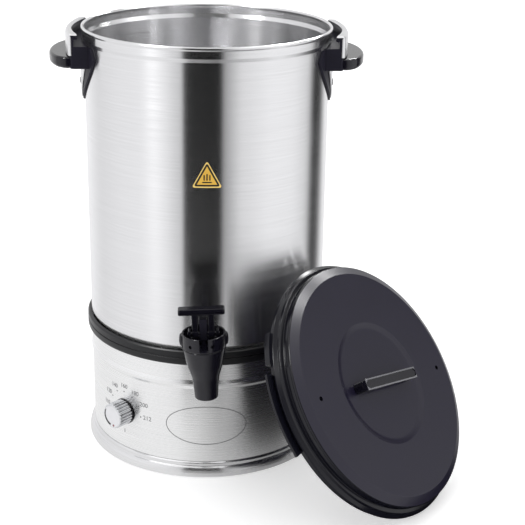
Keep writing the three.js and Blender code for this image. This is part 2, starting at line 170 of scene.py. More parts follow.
def rounded(points):
    """A closed outline in which a corner given as (x, y, radius) becomes an arc."""
    outline = []
    count = len(points)
    for i, point in enumerate(points):
        here = Vector(point[:2])
        radius = point[2] if len(point) == 3 else 0
        to_last = Vector(points[i - 1][:2]) - here
        to_next = Vector(points[(i + 1) % count][:2]) - here
        if radius == 0 or to_last.length == 0 or to_next.length == 0:
            outline.append(tuple(here))
            continue
        half = to_last.angle(to_next) / 2
        reach = min(radius / math.tan(half), 0.48 * to_last.length, 0.48 * to_next.length)
        radius = reach * math.tan(half)
        to_last.normalize()
        to_next.normalize()
        centre = here + (to_last + to_next).normalized() * radius / math.sin(half)
        first = here + to_last * reach - centre
        sweep = first.angle_signed(here + to_next * reach - centre)
        steps = max(2, math.ceil(abs(math.degrees(sweep)) / 11))
        for k in range(steps + 1):
            turned = first.copy()
            turned.rotate(Matrix.Rotation(-sweep * k / steps, 2))
            outline.append(tuple(centre + turned))
    return outline


def rounded_rectangle(width, height, radius, x=0.0, y=0.0):
    w, h = width / 2, height / 2
    corners = [(x - w, y - h), (x + w, y - h), (x + w, y + h), (x - w, y + h)]
    return rounded([(cx, cy, radius) for cx, cy in corners])


def inward(outline, inset):
    """Moves an anticlockwise outline inwards along its mitred corners."""
    moved = []
    count = len(outline)
    for i in range(count):
        before, here, after = (Vector(outline[(i + k) % count]) for k in (-1, 0, 1))
        first = (here - before).normalized()
        second = (after - here).normalized()
        normal = Vector((-first.y - second.y, first.x + second.x)).normalized()
        stretch = max(0.3, normal.dot(Vector((-first.y, first.x))))
        moved.append(tuple(here + normal * inset / stretch))
    return moved


def anticlockwise(outline):
    area = sum(x0 * y1 - x1 * y0 for (x0, y0), (x1, y1) in zip(outline, outline[1:] + outline[:1]))
    return outline if area > 0 else outline[::-1]


# ---------------- meshes
@contextmanager
def editing(mesh):
    """Lends a mesh out as a bmesh and writes it back."""
    work = bmesh.new()
    work.from_mesh(mesh)
    yield work
    work.to_mesh(mesh)
    work.free()


def to_object(name, vertices, faces):
    mesh = bpy.data.meshes.new(name)
    mesh.from_pydata([tuple(v) for v in vertices], [], faces)
    with editing(mesh) as work:
        bmesh.ops.remove_doubles(work, verts=work.verts, dist=1e-7)
        bmesh.ops.recalc_face_normals(work, faces=work.faces)
        if work.calc_volume(signed=True) < 0:
            bmesh.ops.reverse_faces(work, faces=work.faces)
    obj = bpy.data.objects.new(name, mesh)
    bpy.context.scene.collection.objects.link(obj)
    return obj


def lathe(name, profile, place, segments=MEDIUM):
    """Turns a closed (radius, height) outline about the Z axis of a frame."""
    vertices = []
    rings = []
    for radius, height in profile:
        if radius < 1e-6:
            rings.append([len(vertices)] * segments)
            vertices.append(place @ Vector((0, 0, height)))
            continue
        rings.append(list(range(len(vertices), len(vertices) + segments)))
        for k in range(segments):
            angle = 2 * math.pi * k / segments
            x, y = radius * math.cos(angle), radius * math.sin(angle)
            vertices.append(place @ Vector((x, y, height)))
    faces = []
    for ring, other in zip(rings, rings[1:] + rings[:1]):
        for k in range(segments):
            near = (k + 1) % segments
            corners = dict.fromkeys((ring[k], ring[near], other[near], other[k]))
            if len(corners) > 2:
                faces.append(tuple(corners))
    return to_object(name, vertices, faces)


def prism(name, outline, low, high, place, top=0.0, bottom=0.0, steps=5):
    """Extrudes an outline between two heights, with its end edges rounded to two radii."""
    outline = anticlockwise(list(outline))
    layers = []
    for k in range(steps + 1 if bottom else 1):
        angle = math.pi / 2 * k / steps
        layers.append((bottom * (1 - math.sin(angle)), low + bottom * (1 - math.cos(angle))))
    for k in range(steps, -1, -1) if top else [0]:
        angle = math.pi / 2 * k / steps
        layers.append((top * (1 - math.sin(angle)), high - top * (1 - math.cos(angle))))
    vertices = []
    for inset, height in layers:
        ring = inward(outline, inset) if inset else outline
        vertices += [place @ Vector((x, y, height)) for x, y in ring]
    count = len(outline)
    faces = [tuple(range(count)), tuple(range(len(vertices) - count, len(vertices)))]
    for layer in range(len(layers) - 1):
        start = layer * count
        for k in range(count):
            near = (k + 1) % count
            faces.append((start + k, start + near, start + count + near, start + count + k))
    return to_object(name, vertices, faces)


def rod(name, radius, low, high, place, segments=MEDIUM):
    return prism(name, circle(radius, segments), low, high, place)


def sweep(name, path, section, place, closed=False):
    """Runs a section along a path; each path item is (point, side direction, up direction)."""
    vertices = []
    for point, side, up in path:
        vertices += [place @ (point + side * x + up * y) for x, y in section]
    count = len(section)
    faces = []
    spans = len(path) if closed else len(path) - 1
    for i in range(spans):
        start = i * count
        other = ((i + 1) % len(path)) * count
        for k in range(count):
            near = (k + 1) % count
            faces.append((start + k, start + near, other + near, other + k))
    if not closed:
        faces += [tuple(range(count)), tuple(range(len(vertices) - count, len(vertices)))]
    return to_object(name, vertices, faces)


def bake(obj):
    """Applies the modifiers of an object to its mesh."""
    graph = bpy.context.evaluated_depsgraph_get()
    mesh = bpy.data.meshes.new_from_object(obj.evaluated_get(graph))
    obj.modifiers.clear()
    old = obj.data
    obj.data = mesh
    bpy.data.meshes.remove(old)
    return obj


def combine(obj, operation, *tools):
    for tool in tools:
        step = obj.modifiers.new("combine", "BOOLEAN")
        step.operation = operation
        step.solver = "EXACT"
        step.object = tool
        bake(obj)
        bpy.data.objects.remove(tool)
    return obj


def cut(obj, *tools):
    return combine(obj, "DIFFERENCE", *tools)


def join(obj, *tools):
    return combine(obj, "UNION", *tools)


def common(obj, *tools):
    return combine(obj, "INTERSECT", *tools)


def merge_close(obj, gap=0.004):
    """Merges points closer than a gap in mm and drops the faces that this leaves without area."""
    with editing(obj.data) as work:
        bmesh.ops.remove_doubles(work, verts=work.verts, dist=gap * MM)
        bmesh.ops.dissolve_degenerate(work, edges=work.edges, dist=gap * MM)
    return obj


def soften(obj, width, segments=3, limit=34, gap=0.004):
    """Rounds the edges sharper than a limit in degrees, between two clean-ups.

    The overlap clamp narrows the rounding on the whole piece to suit its shortest edges, so on
    pieces that booleans left with very short edges almost none of it remains."""
    merge_close(obj, gap)
    step = obj.modifiers.new("soften", "BEVEL")
    step.width = width * MM
    step.segments = segments
    step.limit_method = "ANGLE"
    step.angle_limit = math.radians(limit)
    step.use_clamp_overlap = True
    step.miter_outer = "MITER_ARC"
    return merge_close(bake(obj), gap)


def shade(obj, sharp=34):
    """Smooth shading that leaves flat faces flat."""
    obj.data.shade_smooth()
    obj.data.set_sharp_from_angle(angle=math.radians(sharp))
    step = obj.modifiers.new("normals", "WEIGHTED_NORMAL")
    step.keep_sharp = True
    step.weight = 80
    return bake(obj)


def true_walls(obj):
    """Gives upright walls that were cut by holes the shading of a plain cylinder again."""
    mesh = obj.data
    normals = [entry.vector.copy() for entry in mesh.corner_normals]
    for polygon in mesh.polygons:
        flat = Vector((polygon.normal.x, polygon.normal.y, 0))
        radial = Vector((polygon.center.x, polygon.center.y, 0)).normalized()
        if abs(polygon.normal.z) > 0.01 or abs(flat.dot(radial)) < 0.99:
            continue
        side = math.copysign(1, flat.dot(radial))
        for loop in polygon.loop_indices:
            place = mesh.vertices[mesh.loops[loop].vertex_index].co
            normals[loop] = Vector((place.x, place.y, 0)).normalized() * side
    mesh.normals_split_custom_set(normals)
    return obj


# ---------------- materials
def feed(tree, node, inputs):
    """Sets the inputs of a node; one that is given another node's output is linked to it."""
    for key, value in inputs.items():
        if isinstance(value, bpy.types.NodeSocket):
            tree.links.new(value, node.inputs[key])
        else:
            node.inputs[key].default_value = value


def add_node(tree, kind, inputs=None, **values):
    node = tree.nodes.new(kind)
    for key, value in values.items():
        setattr(node, key, value)
    feed(tree, node, inputs or {})
    return node


def mix(tree, factor, first, second):
    inputs = {"Factor": factor, "A": first, "B": second}
    return add_node(tree, "ShaderNodeMix", inputs, data_type="RGBA").outputs["Result"]


def start_material(name, constants):
    material = bpy.data.materials.new(name)
    material.use_nodes = True
    tree = material.node_tree
    shader = tree.nodes["Principled BSDF"]
    feed(tree, shader, constants)
    return material, tree, shader


def pattern(tree, scale, detail=3.0, roughness=0.55):
    """Noise in the object's own coordinates; scale is in repeats per metre along X, Y and Z."""
    place = add_node(tree, "ShaderNodeTexCoord").outputs["Object"]
    size = add_node(tree, "ShaderNodeMapping", {"Vector": place, "Scale": scale})
    noise = {"Vector": size.outputs["Vector"], "Scale": 1.0, "Detail": detail, "Roughness": roughness}
    return add_node(tree, "ShaderNodeTexNoise", noise).outputs["Fac"]


def spread(tree, value, low, high, start=0.3, end=0.7):
    inputs = {"Value": value, "From Min": start, "From Max": end, "To Min": low, "To Max": high}
    return add_node(tree, "ShaderNodeMapRange", inputs).outputs["Result"]


def blend(tree, value, first, second):
    return mix(tree, spread(tree, value, 0.0, 1.0), (*first, 1), (*second, 1))


def relief(tree, shader, value, strength):
    """Bump of the depth of a metal's or moulding's grain, in metres."""
    inputs = {"Strength": strength, "Distance": 0.03 * MM, "Height": value}
    feed(tree, shader, {"Normal": add_node(tree, "ShaderNodeBump", inputs).outputs["Normal"]})


def brushed(name, tone, roughness, grain, anisotropy=0.9):
    """Metal with fine grain that runs round the Z axis."""
    material, tree, shader = start_material(name, {
        "Metallic": 1.0, "Anisotropic": anisotropy, "Anisotropic Rotation": 0.25})
    fine = pattern(tree, grain, 4.0, 0.65)
    streaks = pattern(tree, (grain[0] * 0.5, grain[1] * 0.5, grain[2] * 0.4), 3.0)
    light = tuple(min(1.0, c * 1.03) for c in tone)
    dark = tuple(c * 0.93 for c in tone)
    relief(tree, shader, fine, 0.03)
    place = add_node(tree, "ShaderNodeTexCoord").outputs["Object"]
    across = add_node(tree, "ShaderNodeVectorMath", {0: (0, 0, 1), 1: place}, operation="CROSS_PRODUCT")
    feed(tree, shader, {
        "Base Color": blend(tree, fine, dark, light),
        "Roughness": spread(tree, streaks, roughness - 0.03, roughness + 0.04),
        "Tangent": across.outputs["Vector"]})
    return material


def plain_metal(name, tone, roughness, scale=900.0, strength=0.12):
    material, tree, shader = start_material(name, {"Metallic": 1.0})
    fine = pattern(tree, (scale, scale, scale), 4.0)
    cloud = pattern(tree, (40.0, 40.0, 40.0), 2.0)
    feed(tree, shader, {
        "Base Color": blend(tree, cloud, tuple(c * 0.9 for c in tone), tone),
        "Roughness": spread(tree, cloud, roughness * 0.85, roughness * 1.15)})
    relief(tree, shader, fine, strength)
    return material


def moulded(name, tone, roughness, texture=2200.0, strength=0.10, specular=0.5):
    """Moulded plastic or rubber: a fine spark-eroded texture and a slow change of tone."""
    material, tree, shader = start_material(name, {"Specular IOR Level": specular})
    fine = pattern(tree, (texture, texture, texture), 2.0)
    cloud = pattern(tree, (25.0, 25.0, 25.0), 3.0)
    feed(tree, shader, {
        "Base Color": blend(tree, cloud, tone, tuple(c * 1.12 for c in tone)),
        "Roughness": spread(tree, cloud, roughness - 0.02, roughness + 0.03)})
    relief(tree, shader, fine, strength)
    return material


STEEL_TONE = (0.80, 0.80, 0.81)
BASE_TONE = (0.90, 0.90, 0.905)
FINISHES = {
    "steel": (brushed("Brushed steel", STEEL_TONE, 0.22, (14.0, 14.0, 2600.0), 1.0), "brushed_steel"),
    "base": (brushed("Brushed base steel", BASE_TONE, 0.27, (14.0, 14.0, 2600.0), 0.85), "brushed_steel"),
    "etched": (plain_metal("Etched steel", (0.30, 0.30, 0.31), 0.5), "brushed_steel"),
    "cover": (brushed("Satin steel", STEEL_TONE, 0.30, (30.0, 30.0, 1500.0), 0.4), "brushed_steel"),
    "mill": (plain_metal("Mill steel", (0.42, 0.42, 0.43), 0.42), "dull_steel"),
    "chrome": (plain_metal("Plated chrome", (0.74, 0.75, 0.77), 0.07, 500.0, 0.02), "chrome"),
    # Chrome darkened as painted shade in the valleys of the knob's flutes
    "painted_shade_valley": (plain_metal("Chrome with painted shade", (0.16, 0.16, 0.17), 0.30, 500.0, 0.02), "chrome"),
    # Steel darkened as painted shade for the pivot pin, which sits between the lever's legs
    "blackened": (plain_metal("Steel with painted shade", (0.10, 0.10, 0.11), 0.4), "dull_steel"),
    "face": (moulded("Knob face", (0.70, 0.70, 0.72), 0.34), "knob_face"),
    "cast": (plain_metal("Cast aluminium", (0.52, 0.53, 0.54), 0.55, 600.0, 0.3), "aluminium"),
    "brass": (plain_metal("Brass", (0.66, 0.48, 0.20), 0.3), "brass"),
    "gloss": (moulded("Gloss black moulding", (0.006, 0.0055, 0.010), 0.15, 1400.0, 0.03, specular=0.42),
              "black_plastic"),
    "satin": (moulded("Satin black moulding", (0.009, 0.0072, 0.021), 0.30, 1900.0, 0.10, specular=0.43),
              "black_plastic"),
    "dull": (moulded("Dull black moulding", (0.015, 0.014, 0.023), 0.42, 1900.0, 0.12, specular=0.12),
             "black_plastic"),
    "rim": (moulded("Polished black moulding", (0.005, 0.005, 0.009), 0.17, 1400.0, 0.03, specular=0.34),
            "black_plastic"),
    # Black plastic lightened to pale grey: a painted highlight along the ridge tops of the lid's bar
    "painted_highlight_edge": (moulded("Worn black edge", (0.15, 0.15, 0.165), 0.22, 1400.0, 0.03, specular=0.9),
             "black_plastic"),
    "rubber": (moulded("Black rubber", (0.006, 0.006, 0.008), 0.35, 1200.0, 0.12, specular=0.4),
               "black_rubber"),
    "silicone": (moulded("Pale silicone", (0.66, 0.65, 0.62), 0.45), "silicone"),
    "ceramic": (moulded("Pale ceramic", (0.74, 0.70, 0.62), 0.5, 700.0, 0.3), "ceramic"),
    "brown": (moulded("Brown insulation", (0.15, 0.05, 0.02), 0.45), "wire_brown"),
    "blue": (moulded("Blue insulation", (0.03, 0.09, 0.34), 0.45), "wire_blue"),
    "green": (moulded("Green insulation", (0.11, 0.28, 0.03), 0.45), "wire_green"),
    "ink": (moulded("Grey ink", (0.17, 0.17, 0.18), 0.5), "knob_face"),
    "mark": (moulded("Black ink", (0.012, 0.012, 0.014), 0.4), "knob_face"),
    "red": (moulded("Red ink", (0.20, 0.006, 0.015), 0.4), "knob_face"),
    "yellow": (moulded("Yellow label", (0.70, 0.42, 0.05), 0.38), "knob_face"),
    "pale_yellow": (moulded("Pale yellow label", (0.84, 0.60, 0.17), 0.38), "knob_face"),
}
# The objects that the softboxes light
HIGHLIT = bpy.data.collections.new("highlit")


def piece(obj, finish, body, *nodes, sharp=34):
    """Shades a shape, gives it its finish and its body, and hides the CAD nodes that it stands for."""
    shade(obj, sharp)
    material, slot = FINISHES[finish]
    obj.data.materials.clear()
    obj.data.materials.append(material)
    if slot.startswith("black"):
        HIGHLIT.objects.link(obj)
    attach(obj, body)
    if nodes:
        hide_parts(*nodes)
    return obj


def refinish(node, finish):
    """Gives a carried-over CAD node its material."""
    obj = frame["nodes"][node]
    material = FINISHES[finish][0]
    if not obj.material_slots:
        obj.data.materials.append(material)
    for entry in obj.material_slots:
        entry.material = material


# ---------------- pot and base
def make_pot():
    inside = BODY - SHEET
    profile = rounded([
        (0, POT_FLOOR - SHEET), (128, POT_FLOOR - SHEET, 8), (136.5, POT_FLOOR + 1.5, 8), (BODY, 164, 6),
        (BODY, 166.5), (BODY, 190), (BODY, RIM_TOP - 30), (BODY, RIM_TOP - 17, 3),
        (COLLAR, RIM_TOP - 12.5, 2), (COLLAR, RIM_TOP - 4.6, 0.5),
        *arc(141.1, RIM_TOP - 2.1, 2.1, 2.1, -50, 225, 18),
        (COLLAR - SHEET, RIM_TOP - 5, 0.5), (COLLAR - SHEET, RIM_TOP - 12, 2),
        (inside, RIM_TOP - 16.5, 3),
        (inside, RIM_TOP - 30), (inside, 190), (inside, 164.5, 5), (135.6, POT_FLOOR + 2.8, 7),
        (127.6, POT_FLOOR, 7), (0, POT_FLOOR),
    ])
    pot = lathe("pot", profile, KETTLE, FINE)
    hole = rod("hole", 11, 22, 45, SHANK)
    pot = true_walls(piece(cut(pot, hole), "steel", "kettle", "pot_shell"))
    HIGHLIT.objects.link(pot)

    band = rounded([
        (140.4, 143), (144.0, 143, 0.8), (144.6, 145.2, 1.2), (144.6, 150.4, 0.6), (143.4, 151.1, 0.4),
        (143.4, 152.1, 0.4), (144.6, 152.8, 0.6), (144.4, 158.6, 1.0), (143.0, 160, 0.6), (140.4, 160),
    ])
    piece(lathe("band", band, KETTLE, FINE), "rubber", "kettle", "band_gasket")


def make_base():
    inside = BASE - SHEET
    profile = rounded([
        (BASE, 18.6), (BASE, 30), (BASE, 44), (BASE, 80), (BASE, 100),
        (BASE, RIB - 5, 3), (141.3, RIB - 1.6, 2.2), (141.3, RIB + 1.6, 2.2), (BASE, RIB + 5, 3),
        (BASE, 130), (BASE, 150.4, 0.4), (inside, 150.4, 0.4),
        (inside, RIB + 4.4), (BASE, RIB + 2.6), (140.1, RIB), (BASE, RIB - 2.6), (inside, RIB - 4.4),
        (inside, 100), (inside, 80), (inside, 44), (inside, 30), (inside, 18.6),
    ])
    shell = lathe("base", profile, KETTLE, FINE)
    bush = rod("bush", 5.4, 120, 150, KNOB)
    mouth = prism("mouth", rounded_rectangle(34, 24, 3), 120, 150, INLET)
    true_walls(piece(cut(shell, bush, mouth), "base", "kettle", "base_shell"))

    ring = rounded([
        (144.4, 0.8), (145.2, 0.8, 0.5), (146, 2.4, 1.0), (145.7, 6.0, 6), (144.9, 9.4, 6),
        (143.4, 12.0, 3),
        (141.5, 13.4, 1.4), (141.5, 16.8, 1.4), (139.9, 18.3, 0.3), (138.6, 18.3),
        (138.6, 14.6), (142.6, 10.4), (118, 10.4), (118, 8.2), (144.4, 8.2),
    ])
    piece(lathe("foot", ring, KETTLE, FINE), "steel", "kettle", "foot_ring")

    plate = rounded([(0, 6), (24, 6, 0.8), (27, 6.6, 0.8), (131, 6.6, 0.3), (131, 7.9, 0.3), (0, 7.9)])
    vents = []
    for i in range(6):
        slot = rounded_rectangle(6, 44, 2.9, 0, -62)
        vents.append(prism("vent", slot, 0, 20, KETTLE @ turn(30 + 60 * i)))
    piece(cut(lathe("underside", plate, KETTLE, FINE), *vents), "mill", "kettle", "base_plate")

    head = rounded([
        (0, 4.4), (2.8, 4.4, 0.6), (3.9, 5.4, 0.5), (3.9, 6.3), (1.9, 6.3), (1.9, 16), (0, 16),
    ])
    pad = rounded([(0, 0), (9.6, 0, 0.9), (11, 1.2, 0.9), (12, 6.3, 0.4), (0, 6.3)])
    for i in range(4):
        place = KETTLE @ turn(90 * i) @ shift(125, 0, 0)
        screw = cut(lathe(f"base_screw_head_{i + 1}", head, place, SMALL), *cross(place, 4.4, 4.6))
        piece(screw, "mill", "kettle", f"base_screw_{i + 1}")
        place = KETTLE @ turn(45 + 90 * i) @ shift(108, 0, 0)
        foot = lathe(f"foot_pad_shape_{i + 1}", pad, place, SMALL)
        piece(foot, "rubber", "kettle", f"foot_pad_{i + 1}")


def cross(place, face, length, depth=1.4):
    """Two slots that make a cross recess in a screw head."""
    slots = []
    for angle in (0, 90):
        outline = rounded_rectangle(length, 0.9, 0.3)
        slots.append(prism("slot", outline, face - depth, face + depth, place @ turn(angle)))
    return slots


def make_inlet():
    flange = prism("inlet", rounded_rectangle(46, 30, 4), 135, 144, INLET, top=1.2)
    curve = rod("curve", BODY + GAP, 20, 110, KETTLE, FINE)
    flange = cut(flange, curve)
    well = prism("well", rounded_rectangle(32, 22, 2), 111, 141, INLET)
    shape = join(flange, well)
    socket = prism("socket", rounded_rectangle(26, 16, 5.5), 123, 150, INLET, bottom=1.0)
    holes = [rod("pin_hole", 1.9, 100, 130, INLET @ shift(x, 0, 0), SMALL) for x in (-7, 0, 7)]
    piece(soften(cut(shape, socket, *holes), 0.35, 2), "satin", "kettle", "inlet_housing")
    profile = rounded([(0, 104), (1.6, 104), (1.6, 138, 1.2), (0, 138)])
    for role, x in (("live", 7), ("earth", 0), ("neutral", -7)):
        pin = lathe(f"pin_{role}", profile, INLET @ shift(x, 0, 0), SMALL)
        piece(pin, "brass", "kettle", f"inlet_pin_{role}")


# ---------------- marks on the walls
def wrap(obj, place, radius, height, lift):
    """Bends a flat mark, drawn in mm with X along the wall and Y up, onto a cylinder.

    place turns the front of the kettle to where the mark is, and Z is its thickness."""
    for vertex in obj.data.vertices:
        x, y, z = vertex.co
        angle = x / radius
        reach = radius + lift + z
        vertex.co = place @ Vector((reach * math.sin(angle), -reach * math.cos(angle), height + y))
    with editing(obj.data) as work:
        bmesh.ops.recalc_face_normals(work, faces=work.faces)
    return obj


def fill(obj):
    """Splits wide flat faces into narrow strips, so that they can bend round the wall."""
    with editing(obj.data) as work:
        for i in range(-14, 15):
            geometry = list(work.verts) + list(work.edges) + list(work.faces)
            bmesh.ops.bisect_plane(work, geom=geometry, plane_co=(i + 0.5, 0, 0), plane_no=(1, 0, 0))
    return obj


def band_loop(name, outline, width, thickness):
    """A raised line of constant width that follows a closed outline."""
    section = [(-width / 2, 0), (width / 2, 0), (width * 0.32, thickness), (-width * 0.32, thickness)]
    path = []
    count = len(outline)
    for i in range(count):
        before, here, after = (Vector((*outline[(i + k) % count], 0)) for k in (-1, 0, 1))
        along = (after - before).normalized()
        path.append((here, Vector((along.y, -along.x, 0)), Vector((0, 0, 1))))
    return sweep(name, path, section, FLAT, closed=True)


def lettering(name, text, size, x, y, thickness):
    curve = bpy.data.curves.new(name, "FONT")
    curve.body = text
    curve.size = size
    curve.align_x = "CENTER"
    curve.align_y = "CENTER"
    curve.extrude = thickness / 2
    source = bpy.data.objects.new(name, curve)
    bpy.context.scene.collection.objects.link(source)
    graph = bpy.context.evaluated_depsgraph_get()
    mesh = bpy.data.meshes.new_from_object(source.evaluated_get(graph))
    bpy.data.objects.remove(source)
    for vertex in mesh.vertices:
        vertex.co += Vector((x, y, thickness / 2))
    obj = bpy.data.objects.new(name, mesh)
    bpy.context.scene.collection.objects.link(obj)
    return obj


def make_dial():
    angle = math.degrees(math.atan2(KNOB[0][2], -KNOB[1][2]))
    place = KETTLE @ turn(angle)
    dot_circle, text_circle, widening, text_size, print_depth = 25.3, 32.4, 1.06, 7.6, 0.12
    tick = rounded_rectangle(0.9, 5.0, 0.4, 0, -25.5)
    marks = {"110": -90, "120": -60, "140": -30, "160": 0, "180": 30, "200": 60, "212": 90}
    for text, around in marks.items():
        x = math.sin(math.radians(around))
        y = math.cos(math.radians(around))
        dot = circle(0.85, 20, dot_circle * x, dot_circle * y)
        dot = prism(f"dial_dot_{text}", dot, 0, print_depth, FLAT)
        piece(wrap(dot, place, BASE, DIAL_HEIGHT, 0), "ink", "kettle")
        label = lettering(f"dial_number_{text}", text, text_size,
                          text_circle * x * widening, text_circle * y, print_depth)
        piece(wrap(label, place, BASE, DIAL_HEIGHT, 0), "ink", "kettle")
    tick = prism("dial_tick", tick, 0, print_depth, FLAT)
    piece(wrap(tick, place, BASE, DIAL_HEIGHT, 0), "ink", "kettle")


def make_marks():
    oval = arc(-0.5, 0, 47, 24, 0, 360 * 119 / 120, 119)
    oval = band_loop("oval_line", oval, 1.0, 0.12)
    piece(wrap(oval, KETTLE, BASE, DIAL_HEIGHT, 0), "etched", "kettle")

    def triangle(half, low, high, corner):
        return rounded([(-half, low, corner), (half, low, corner), (0, high, corner)])

    field = triangle(12.8, -11.8, 11.8, 0.6)
    line = rounded_rectangle(10.4, 1.4, 0.5, 0, -8.2)
    label_top, print_top, print_depth = 0.1, 0.13, 0.04
    for shape, finish, lift in (
        (prism("label", triangle(16.5, -14.2, 16.0, 1.6), 0, label_top, FLAT), "pale_yellow", 0),
        (prism("label_field", field, 0, 0.03, FLAT), "yellow", label_top),
        (band_loop("label_border", field, 2.0, print_depth), "mark", print_top),
        (prism("label_line", line, 0, print_depth, FLAT), "mark", print_top),
    ):
        piece(wrap(fill(shape), KETTLE, BODY, LABEL_HEIGHT, lift), finish, "kettle")
    for i, (x, length) in enumerate(((-3.1, 6.4), (0, 7.6), (3.1, 6.4))):
        stroke = rounded_rectangle(1.5, length, 0.7, x, length / 2 - 6.2)
        stroke = prism(f"label_stroke_{i + 1}", stroke, 0, print_depth, FLAT)
        piece(wrap(stroke, KETTLE, BODY, LABEL_HEIGHT, print_top), "mark", "kettle")


# ---------------- thermostat knob
def make_knob():
    bezel = rounded([
        (5.4, 140.1), (15.4, 140.1, 0.2), (15.6, 140.5, 0.2), (15.4, 140.9, 0.2), (5.4, 140.9),
    ])
    piece(lathe("bezel", bezel, KNOB), "gloss", "kettle", "knob_bezel")

    flutes, radius, depth = 24, KNOB_RADIUS, 0.9
    outline = []
    steps = flutes * 10
    for i in range(steps):
        angle = 2 * math.pi * i / steps
        dip = depth * (0.5 - 0.5 * math.cos(flutes * angle)) ** 1.5
        outline.append(((radius - dip) * math.cos(angle), (radius - dip) * math.sin(angle)))
    grip = prism("knob_grip", outline, KNOB_BACK, 159.0, KNOB, top=0.9, bottom=0.4)
    bore = rod("bore", 3.3, 140, 156.3, KNOB, SMALL)
    recess = rod("recess", 13.4, 158.2, 162, KNOB)
    grip = piece(merge_close(cut(grip, bore, recess)), "chrome", "knob", "knob")
    # The upright faces in the flute valleys get the darker chrome: painted shade
    grip.data.materials.append(FINISHES["painted_shade_valley"][0])
    own = KNOB.inverted()
    for polygon in grip.data.polygons:
        reach = (own @ polygon.center).xy.length
        upright = abs((own.to_3x3() @ polygon.normal).z) < 0.5
        polygon.material_index = int(upright and 13.8 < reach < radius - depth * 0.7)
    cap = rounded([(0, 158.3), (13.3, 158.3), (13.3, 159.2, 0.4), (12.6, 159.5, 0.8), (0, 159.4)])
    piece(lathe("knob_face", cap, KNOB), "face", "knob", "knob_cap")
    stripe = arc(0, 0, 12.7, 12.7, 150, 256, 32) + arc(0.2, 1.1, 11.2, 11.2, 256, 150, 32)
    ink_top = KNOB_FACE + 0.28
    piece(prism("knob_arc", stripe, KNOB_FACE, ink_top, KNOB), "mark", "knob")
    dot = prism("knob_dot", circle(1.3, 24, 2.2, -11.1), KNOB_FACE, ink_top, KNOB)
    piece(dot, "red", "knob")


# ---------------- handles, heights in mm
BLOCK_LOW = 462.0
BLOCK_TOP = 499.2
GRIP_LOW = 462.4
GRIP_TOP = 475.5
CHANNEL_LOW = 487.0
LIP_LOW = 495.0


def block_outline(grow, corner=3.0):
    """The bracket from above: straight ends and a bowed outer face with rounded corners."""
    radius = BOW + grow
    half = math.degrees(math.asin(HANDLE_HALF / radius))
    bowed = arc(BOW_CENTRE, 0, radius, radius, -half, half, 2)
    inset = half - math.degrees(2.4 * corner / radius)
    front = arc(BOW_CENTRE, 0, radius, radius, -inset, inset, 36)
    return rounded([
        (110, -HANDLE_HALF), (*bowed[0], corner), *front, (*bowed[2], corner), (110, HANDLE_HALF),
    ])


def shield_outline(half, tip, top):
    """Narrows from its widest line, level with the grip, to a rounded tip."""
    middle, taper = 474.0, 1.55
    lower = []
    for x, y in arc(0, 0, 1, 1, 180, 360, 60):
        height = middle - (middle - tip) * abs(y) ** taper
        if height <= top:
            lower.append((math.copysign(half * abs(x) ** taper, x), height))
    return lower if top < middle else [(-half + 8, top), *lower, (half - 8, top)]


def wall_plate(name, outline, inner, outer, place):
    """A plate on the pot wall, cut to an outline drawn with X along Y and Y along Z."""
    face = Matrix(((0, 0, 1, 0), (1, 0, 0, 0), (0, 1, 0, 0), (0, 0, 0, 1)))
    stamp = prism(name, outline, 90, 160, place @ face)
    tube = lathe("tube", [(inner, 400), (outer, 400), (outer, 500), (inner, 500)], place, FINE)
    return common(stamp, tube)


def finger_recess(place):
    outline = rounded([
        (146, -44), (154, -44, 4), *arc(150, 0, 22, 44, -60, 60, 36), (154, 44, 4), (146, 44),
    ])
    return prism("recess", outline, 450, 471, place, top=3)


def screw_hole(place):
    return rod("screw_hole", 2.4, 120, 155, place @ shift(0, 0, SCREW_HEIGHT) @ ALONG_X, SMALL)


